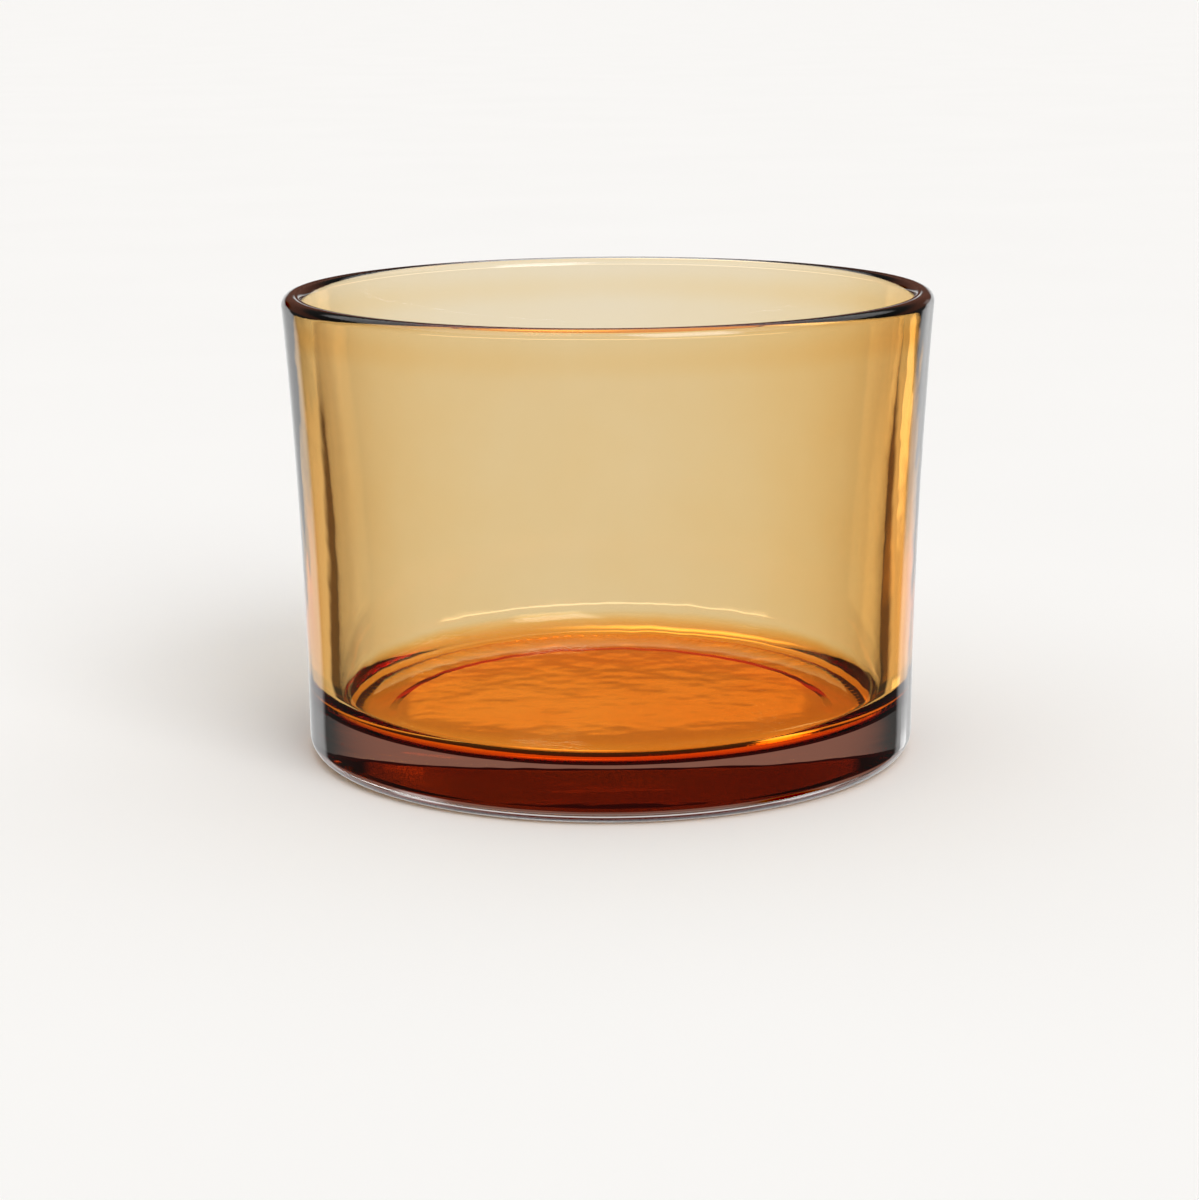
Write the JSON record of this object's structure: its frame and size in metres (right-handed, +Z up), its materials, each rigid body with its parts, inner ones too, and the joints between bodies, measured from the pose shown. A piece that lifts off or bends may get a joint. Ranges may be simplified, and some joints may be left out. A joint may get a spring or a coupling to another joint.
{
  "type": "empty candle jar",
  "caption": "Round clear glass jar for a container candle, gently flared, with a thick foot, a fire-polished rim and a translucent amber coat inside.",
  "frame": {"origin": "centre of the foot, on the surface that the jar stands on", "axes": "+Z up along the jar's axis, towards the mouth"},
  "size_m": [0.106, 0.106, 0.076],
  "materials": {
    "clear_glass": "clear pressed flint glass, fire polished",
    "amber_lacquer": "translucent amber lacquer, glossy, sprayed on the inside"
  },
  "bodies": {
    "root": {"glass_jar": "clear_glass", "amber_coat": "amber_lacquer"}
  },
  "joints": []
}
